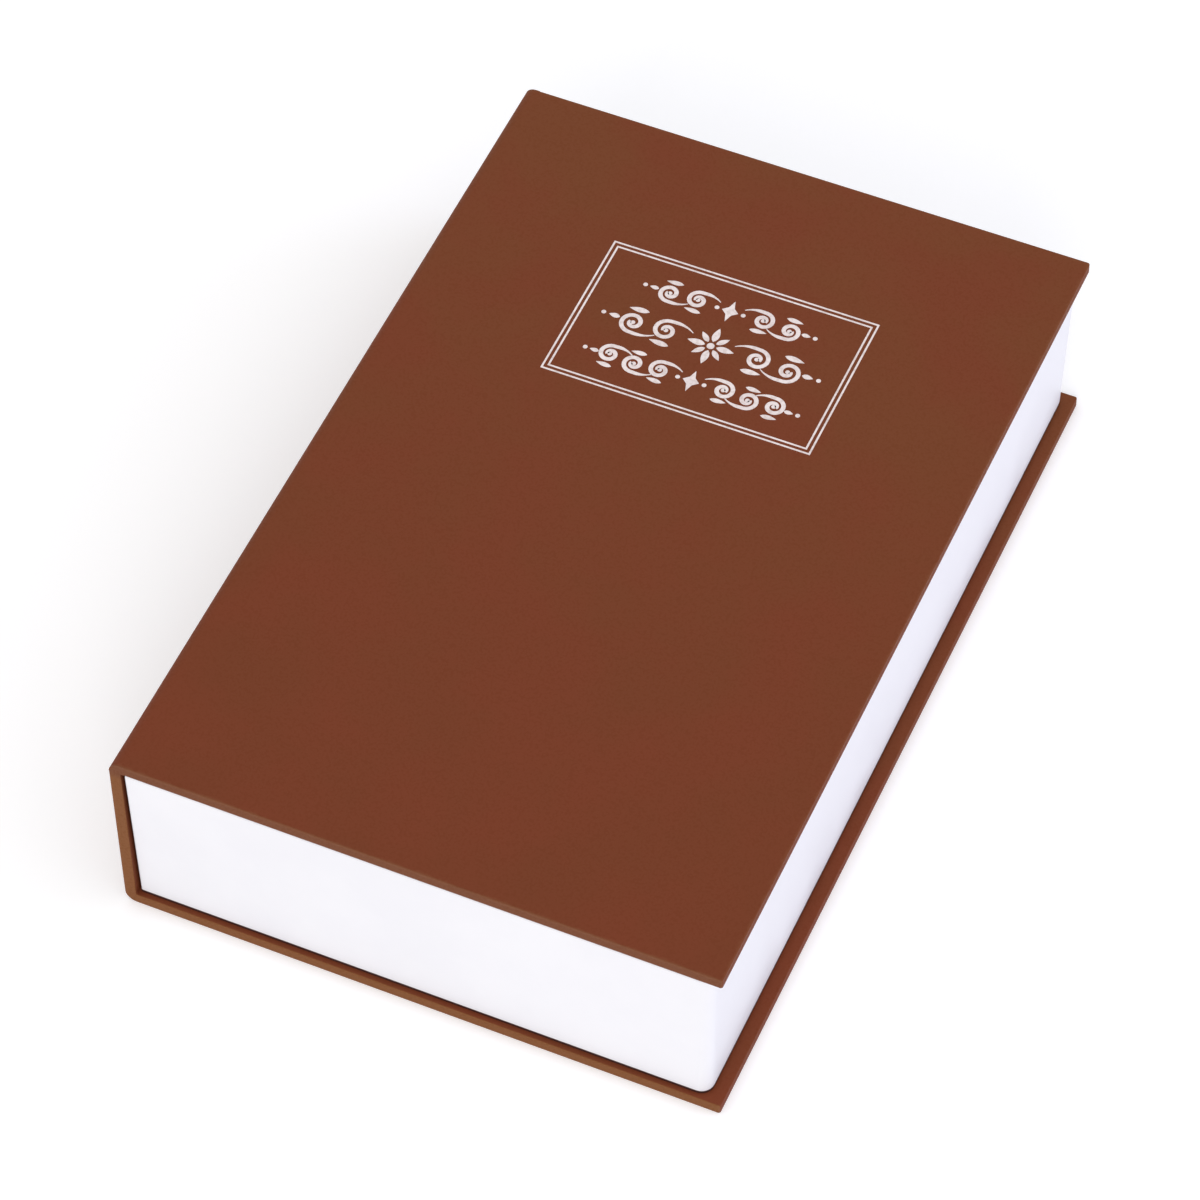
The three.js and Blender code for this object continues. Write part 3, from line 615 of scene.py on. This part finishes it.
# The camera stands where the photograph was taken from
CAMERA_PLACE = (333.4 * MM, -749.7 * MM, 1047.5 * MM)
CAMERA_AIM = (-0.8 * MM, -9.3 * MM, 27.5 * MM)
CAMERA_ROLL = 0.75
CAMERA_LENS = 158.0
CAMERA_SENSOR = 36.0
CAMERA_REACH = (0.01, 50)

# The lamps: places in metres from the middle of the book, power in watts
KEY_PLACE = (0.6, -2.52, 1.5)
KEY_SIZE = 2.0
KEY_POWER = 30.5
FILL_PLACE = (2.1, 0.9, 0.6)
FILL_SIZE = 1.4
FILL_POWER = 13.5
FILL_COLOUR = (0.65, 0.69, 1.0)

# The light from all round, and the floor
SKY_COLOUR = (0.985, 0.985, 1.0, 1.0)
SKY_STRENGTH = 0.78
WHITE = (1.0, 1.0, 1.0, 1.0)
FLOOR_SIZE = 12
FLOOR_TONE = (0.93, 0.93, 0.93, 1.0)
FLOOR_LIGHT = (0.205, 0.205, 0.205, 1.0)


def camera_matrix(place, aim, roll):
    """Looks from a place at an aim, with z up in the picture and then rolled by some degrees."""
    forward = (Vector(aim) - Vector(place)).normalized()
    right = forward.cross(Vector((0, 0, 1))).normalized()
    up = right.cross(forward)
    turn = Matrix.Rotation(math.radians(roll), 3, forward)
    right, up = turn @ right, turn @ up
    matrix = Matrix((right, up, -forward)).transposed().to_4x4()
    matrix.translation = place
    return matrix


def add_camera():
    bpy.ops.object.camera_add()
    camera = bpy.context.object
    camera.matrix_world = camera_matrix(CAMERA_PLACE, CAMERA_AIM, CAMERA_ROLL)
    camera.data.lens = CAMERA_LENS
    camera.data.sensor_width = CAMERA_SENSOR
    camera.data.clip_start = CAMERA_REACH[0]
    camera.data.clip_end = CAMERA_REACH[1]
    bpy.context.scene.camera = camera


def add_lamp(name, place, size, power, colour=(1, 1, 1)):
    """A round soft lamp that faces the book."""
    bpy.ops.object.light_add(type="AREA", location=place)
    lamp = bpy.context.object
    lamp.name = name
    lamp.data.shape = "DISK"
    lamp.data.size = size
    lamp.data.energy = power
    lamp.data.color = colour
    lamp.rotation_euler = (-Vector(place)).to_track_quat("-Z", "Y").to_euler()


def add_world():
    """Soft light from all round, and plain white where the camera, metal or glass looks past the book."""
    world = bpy.data.worlds.new("studio")
    bpy.context.scene.world = world
    world.use_nodes = True
    tree = world.node_tree
    tree.nodes.clear()
    soft = add_node(tree, "ShaderNodeBackground", {"Color": SKY_COLOUR, "Strength": SKY_STRENGTH})
    white = add_node(tree, "ShaderNodeBackground", {"Color": WHITE, "Strength": 1.0})
    mixed = add_node(tree, "ShaderNodeMixShader", {0: background_rays(tree)})
    out = tree.nodes.new("ShaderNodeOutputWorld")
    tree.links.new(soft.outputs[0], mixed.inputs[1])
    tree.links.new(white.outputs[0], mixed.inputs[2])
    tree.links.new(mixed.outputs[0], out.inputs[0])


def add_floor():
    bpy.ops.mesh.primitive_plane_add(size=FLOOR_SIZE, location=(0, 0, 0))
    floor = bpy.context.object
    floor.name = "studio_floor"
    floor.data.materials.append(floor_material())
    place_in_mesh(floor)


def set_stage():
    select_nothing()
    add_camera()
    add_world()
    add_lamp("key", KEY_PLACE, KEY_SIZE, KEY_POWER)
    add_lamp("fill", FILL_PLACE, FILL_SIZE, FILL_POWER, FILL_COLOUR)
    add_floor()
    bpy.context.scene.view_settings.view_transform = "Standard"


set_stage()


# The case: covering sheets with softened board edges, and the cloth between spine and front cover

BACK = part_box("back_cover_sheet")
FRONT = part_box("front_cover_sheet")
SPINE_FACE = BACK[0][0]
SPINE_TOP = BACK[1][2]
FRONT_START = FRONT[0][0]
COVER_TOP = FRONT[1][2]
COVER = COVER_TOP - SPINE_TOP

WHOLE_BOX = (tuple(BACK[0]), tuple(FRONT[1]))
SEAM_PLAY = 0.01 * MM


def on_back_seam(a, b):
    """Whether an edge lies where the spine's sheet meets the hinge cloth, and so stays sharp."""
    return min(a.z, b.z) > SPINE_TOP - SEAM_PLAY


def on_front_seam(a, b):
    """The same for the front board's sheet."""
    return max(a.x, b.x) < FRONT_START + SEAM_PLAY


COVER_SHEET = cover_sheet_material("cover_sheet", WHOLE_BOX)


def tighten_corners(obj):
    """Folds the sheet tightly round the fore corners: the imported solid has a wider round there."""
    corner = Vector(WHOLE_BOX[1])
    for point in obj.data.vertices:
        side = math.copysign(1, point.co.y)
        x = point.co.x - (corner.x - CORNER)
        y = side * point.co.y - (corner.y - CORNER)
        if min(x, y) > -SEAM_PLAY and abs(math.hypot(x, y) - CORNER) < SEAM_PLAY:
            x, y = (TIGHT_CORNER * v / CORNER for v in (x, y))
            point.co.x = corner.x - TIGHT_CORNER + x
            point.co.y = side * (corner.y - TIGHT_CORNER + y)


def case_pieces():
    """The sheets of both covers, and the cloth bent round the corner between them."""
    edges = (EDGE_ROUND, EDGE_STEPS, EDGE_ANGLE)
    back = rounded_copy("back_cover_sheet", "back_covering", *edges, on_back_seam, tighten_corners)
    dress(back, COVER_SHEET, "case_and_box")
    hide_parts("back_cover_sheet")
    front = rounded_copy("front_cover_sheet", "front_covering", *edges, on_front_seam, tighten_corners)
    dress(front, COVER_SHEET, "front_cover")
    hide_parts("front_cover_sheet")
    cloth = hinge_cloth()
    finish_with(cloth, COVER_SHEET)
    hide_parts("hinge_cloth")
    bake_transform(cloth)


def swept_corner(name, depth, y0, y1, rows):
    """A flat strip over the spine's top end, spun round the corner and drawn out to the front board."""
    select_nothing()
    bpy.ops.mesh.primitive_grid_add(
        x_subdivisions=max(1, round(depth / SHEET)), y_subdivisions=rows, size=1,
        location=(SPINE_FACE + depth / 2, (y0 + y1) / 2, SPINE_TOP),
    )
    strip = stretched(named(name), (depth, y1 - y0, 1))
    edit_all(strip)
    bpy.ops.mesh.spin(
        steps=JOINT_STEPS, angle=math.pi / 2, center=(SPINE_FACE + COVER, 0, SPINE_TOP), axis=(0, -1, 0),
        dupli=False,
    )
    bpy.ops.mesh.extrude_region_move(
        TRANSFORM_OT_translate={"value": (FRONT_START - SPINE_FACE - COVER, 0, 0)},
    )
    bpy.ops.mesh.select_all(action="SELECT")
    bpy.ops.mesh.remove_doubles(threshold=JOINT_WELD)
    bpy.ops.mesh.normals_make_consistent(inside=False)
    leave_edit()
    return strip


def hinge_cloth():
    """A bent sheet between the turn-ins, and at head and tail a fold as thick as the cover."""
    low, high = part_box("hinge_cloth")
    skin = swept_corner("hinge_covering", SHEET, low[1] + TURN_IN, high[1] - TURN_IN, SKIN_ROWS)
    tail = swept_corner("tail_fold", COVER, low[1], low[1] + TURN_IN, FOLD_ROWS)
    head = swept_corner("head_fold", COVER, high[1] - TURN_IN, high[1], FOLD_ROWS)
    cloth = join([skin, tail, head], "hinge_covering")
    smooth(cloth, EDGE_ANGLE)
    return cloth


case_pieces()


def end_lap(name, low, high, body):
    """The thin strip of covering turned in over a board's end at the joint, its long edges rubbed round."""
    select_nothing()
    bpy.ops.mesh.primitive_cube_add(size=1, location=(Vector(low) + Vector(high)) / 2)
    lap = stretched(named(name), Vector(high) - Vector(low))
    edit_all(lap)
    bpy.ops.mesh.bevel(offset=LAP_ROUND, segments=2)
    leave_edit()
    smooth(lap)
    dress(lap, COVER_SHEET, body)


def joint_laps():
    """Covers the raw ends of the spine board and the front board, which face each other across the joint."""
    low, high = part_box("spine_board")
    foot = high[2] + LAP_AIR
    end_lap("spine_end_lap", (low[0], low[1], foot), (high[0], high[1], foot + LAP), "case_and_box")
    low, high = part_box("front_board")
    face = low[0] - LAP_AIR
    end_lap("front_end_lap", (face - LAP, low[1], low[2]), (face, high[1], high[2]), "front_cover")


joint_laps()


# The blocked frame and its ornament

def flat_rule(name, low, high, width):
    """A thin rectangular rule: a plane inset by its width, its middle taken out."""
    select_nothing()
    middle = ((low[0] + high[0]) / 2, (low[1] + high[1]) / 2, COVER_TOP)
    bpy.ops.mesh.primitive_plane_add(size=1, location=middle)
    rule = stretched(named(name), (high[0] - low[0], high[1] - low[1], 1))
    edit_all(rule)
    bpy.ops.mesh.inset(thickness=width)
    bpy.ops.mesh.delete(type="FACE")
    leave_edit()
    return rule


def title_frame():
    by = RULE + RULE_GAP
    outer = flat_rule("outer_rule", FRAME_LOW, FRAME_HIGH, RULE)
    low = (FRAME_LOW[0] + by, FRAME_LOW[1] + by)
    high = (FRAME_HIGH[0] - by, FRAME_HIGH[1] - by)
    inner = flat_rule("inner_rule", low, high, RULE)
    return [outer, inner]


def flat_outline(name, points):
    """A closed flat outline, filled and turned into a mesh on the cover."""
    select_nothing()
    bpy.ops.curve.primitive_bezier_circle_add(location=(0, 0, 0))
    curve = named(name)
    curve.data.dimensions = "2D"
    curve.data.fill_mode = "BOTH"
    curve.data.splines.clear()
    spline = curve.data.splines.new("POLY")
    spline.points.add(len(points) - 1)
    for point, (x, y) in zip(spline.points, points):
        point.co = (x, y, 0, 1)
    spline.use_cyclic_u = True
    bpy.ops.object.convert(target="MESH")
    shape = bpy.context.object
    shape.location = (0, 0, COVER_TOP)
    place_in_mesh(shape)
    return shape


def leaf_points(x, y, length, width, angle, steps=8):
    """A leaf from its base, along an angle: round in the middle, pointed at the tip."""
    side = []
    for i in range(steps + 1):
        t = i / steps
        side.append((length * t, width / 2 * math.sin(math.pi * t ** 0.8) ** 0.9))
    outline = side + [(a, -b) for a, b in reversed(side[1:-1])]
    c, s = math.cos(angle), math.sin(angle)
    return [(x + a * c - b * s, y + a * s + b * c) for a, b in outline]


def dot_points(x, y, radius, steps=14):
    angles = [2 * math.pi * i / steps for i in range(steps)]
    return [(x + radius * math.cos(angle), y + radius * math.sin(angle)) for angle in angles]


def lozenge_points(half_width, half_height, waist=0.49):
    """A four-pointed star about the middle, its sides drawn in to a waist."""
    points = []
    for k in range(8):
        angle = k * math.pi / 4
        reach = 1 if k % 2 == 0 else waist
        points.append((reach * half_width * math.cos(angle), reach * half_height * math.sin(angle)))
    return points


def ribbon_points(path, wide):
    """A stroke of changing width along a path; wide gives the width at each point."""
    left, right = [], []
    for i, (x, y) in enumerate(path):
        ax, ay = path[max(i - 1, 0)]
        bx, by = path[min(i + 1, len(path) - 1)]
        length = math.hypot(bx - ax, by - ay) or 1
        nx, ny = -(by - ay) / length, (bx - ax) / length
        half = wide(i / (len(path) - 1)) / 2
        left.append((x + nx * half, y + ny * half))
        right.append((x - nx * half, y - ny * half))
    return left + right[::-1]


def scroll_path(x, y, radius, hand, steps=30, tail_steps=12):
    """A spiral that winds out from (x, y) to its top, or to its foot where hand is -1, and swings off."""
    turns = [i / steps for i in range(steps + 1)]
    winding = [(2 * math.pi * SCROLL_TURNS * (t - 1), SCROLL_HEART + (1 - SCROLL_HEART) * t) for t in turns]
    swings = [i / tail_steps for i in range(1, tail_steps + 1)]
    swinging = [(SCROLL_TAIL * t, 1 + SCROLL_FLARE * t * t) for t in swings]
    path = []
    for angle, reach in winding + swinging:
        angle += math.pi / 2
        path.append((x + radius * reach * math.cos(angle), y + hand * radius * reach * math.sin(angle)))
    return path


def scroll_width(t):
    """The stroke is full round the scroll and fines away at the end of its tail."""
    thin, swell = SCROLL_STROKE
    return (thin + swell * math.sin(math.pi * min(1, t * 0.55 + 0.25))) * min(1, 0.25 + (1 - t) * 5)


def half_band(start, reach, radius, curls):
    """One half of a band, to the right of its middle: scrolls up and down in turn, a leaf in each hollow."""
    outlines = []
    pitch = (reach - start) / curls
    for k in range(curls):
        up = 1 if k % 2 == 0 else -1
        x = start + (k + 0.5) * pitch
        y = up * 0.12 * radius
        outlines.append(ribbon_points(scroll_path(x, y, radius, up), scroll_width))
        outlines.append(dot_points(x, y, SCROLL_EYE))
        base = (x - 0.3 * pitch, -up * 1.3 * radius)
        outlines.append(leaf_points(*base, 0.62 * pitch, 0.5 * radius, up * 0.06))
    outlines.append(leaf_points(reach - 0.2 * radius, 0, 0.9 * radius, 0.45 * radius, 0.0))
    outlines.append(dot_points(reach + 1.15 * radius, 0, SCROLL_EYE))
    return outlines


def rosette(radius):
    """Eight petals round an eye, every other one longer."""
    outlines = [dot_points(0, 0, 0.16 * radius)]
    start = 0.24 * radius
    for k in range(8):
        angle = k * math.pi / 4
        length, width = ((0.76, 0.30) if k % 2 == 0 else (0.60, 0.24))
        base = (start * math.cos(angle), start * math.sin(angle))
        outlines.append(leaf_points(*base, length * radius, width * radius, angle))
    return outlines


def mirrored(outlines):
    return [[(-x, y) for x, y in reversed(points)] for points in outlines]


def ornament_bands():
    """Three bands of printer's flourishes inside the frame, the middle one the tallest."""
    middle = ((FRAME_LOW[0] + FRAME_HIGH[0]) / 2, (FRAME_LOW[1] + FRAME_HIGH[1]) / 2)
    shapes = []
    for rise, start, reach, radius, curls in BANDS:
        side = half_band(start, reach, radius, curls)
        if rise == 0:
            centre = rosette(1.9 * radius)
        else:
            beside = 1.3 * radius
            dots = [dot_points(x, 0, SCROLL_EYE) for x in (-beside, beside)]
            centre = [lozenge_points(0.8 * radius, 1.3 * radius)] + dots
        for outline in side + mirrored(side) + centre:
            moved = [(x + middle[0], y + middle[1] + rise) for x, y in outline]
            shapes.append(flat_outline("flourish", moved))
    return shapes


def foil_pieces():
    foil = foil_material()
    rules = join(title_frame(), "blocked_rules")
    flourish = join(ornament_bands(), "blocked_ornament")
    for piece in (rules, flourish):
        weld(piece, FOIL_WELD)
        thick = piece.modifiers.new("foil", "SOLIDIFY")
        thick.thickness = FOIL_THICKNESS
        thick.offset = 1
        apply_modifiers(piece)
        dress(piece, foil, "front_cover")


foil_pieces()


# The page block and the steel work, softened where the real edges are

def body_of(node):
    return frame["nodes"][node]["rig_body"]


def softened(node, name, material, width):
    piece = rounded_copy(node, name, width)
    dress(piece, material, body_of(node))
    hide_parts(node)


def smoothed(node, name, material, degrees=30):
    """For a piece whose round faces are in its solid already."""
    piece = merged_copy(node, name)
    smooth(piece, degrees, 50)
    dress(piece, material, body_of(node))
    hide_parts(node)


PLASTIC = plastic_material()
POWDER = powder_material()
ZINC = steel_material("zinc_steel", (0.52, 0.52, 0.53), 0.3, 0.37, (1400.0, 60.0, 1400.0))
CHROME = steel_material("chrome", (0.78, 0.78, 0.79), 0.1, 0.16, (900.0, 900.0, 60.0))
BRASS = steel_material("brass", (0.55, 0.36, 0.12), 0.22, 0.4, (900.0, 60.0, 900.0))

smoothed("page_shell", "page_block", PLASTIC)
softened("steel_tray", "steel_box", POWDER, 0.2 * MM)
softened("lid", "steel_lid", POWDER, 0.2 * MM)
softened("lock_body", "lock_case", CHROME, 0.15 * MM)
softened("lock_plug", "lock_core", CHROME, 0.12 * MM)
softened("lock_cam", "lock_tongue", ZINC, 0.2 * MM)
softened("strike_plate", "strike_angle", ZINC, 0.2 * MM)
smoothed("fixed_hinge_leaf", "box_leaf", ZINC, 40)
smoothed("moving_hinge_leaf", "lid_leaf", ZINC, 40)
softened("lock_nut", "hex_nut", ZINC, 0.25 * MM)
softened("lock_washer", "toothed_ring", ZINC, 0.08 * MM)
softened("cam_washer", "plain_ring", ZINC, 0.1 * MM)
softened("cam_screw", "slotted_screw", ZINC, 0.1 * MM)


def round_fasteners():
    """The rivets and the hinge pin, with smooth heads and shanks."""
    for part in frame["record"]["subparts"]:
        node = part["node"]
        if "rivet" in node or node == "hinge_pin":
            name = node.replace("rivet", "domed_rivet").replace("hinge_pin", "hinge_wire")
            smoothed(node, name, ZINC, 50)


round_fasteners()

FINISHES = {
    "grey_board": board_material(),
    "lining_paper": paper_material(),
    "foam_tape": foam_material(),
    "zinc_steel": ZINC,
    "brass": BRASS,
    "chrome": CHROME,
    "painted_steel": POWDER,
    "white_plastic": PLASTIC,
}


def finish_remaining():
    """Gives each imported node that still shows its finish."""
    for part in frame["record"]["subparts"]:
        material = FINISHES.get(part["material_slot"])
        obj = bpy.data.objects.get(part["node"])
        if material is None or obj is None:
            continue
        for slot in obj.material_slots:
            slot.material = material


finish_remaining()
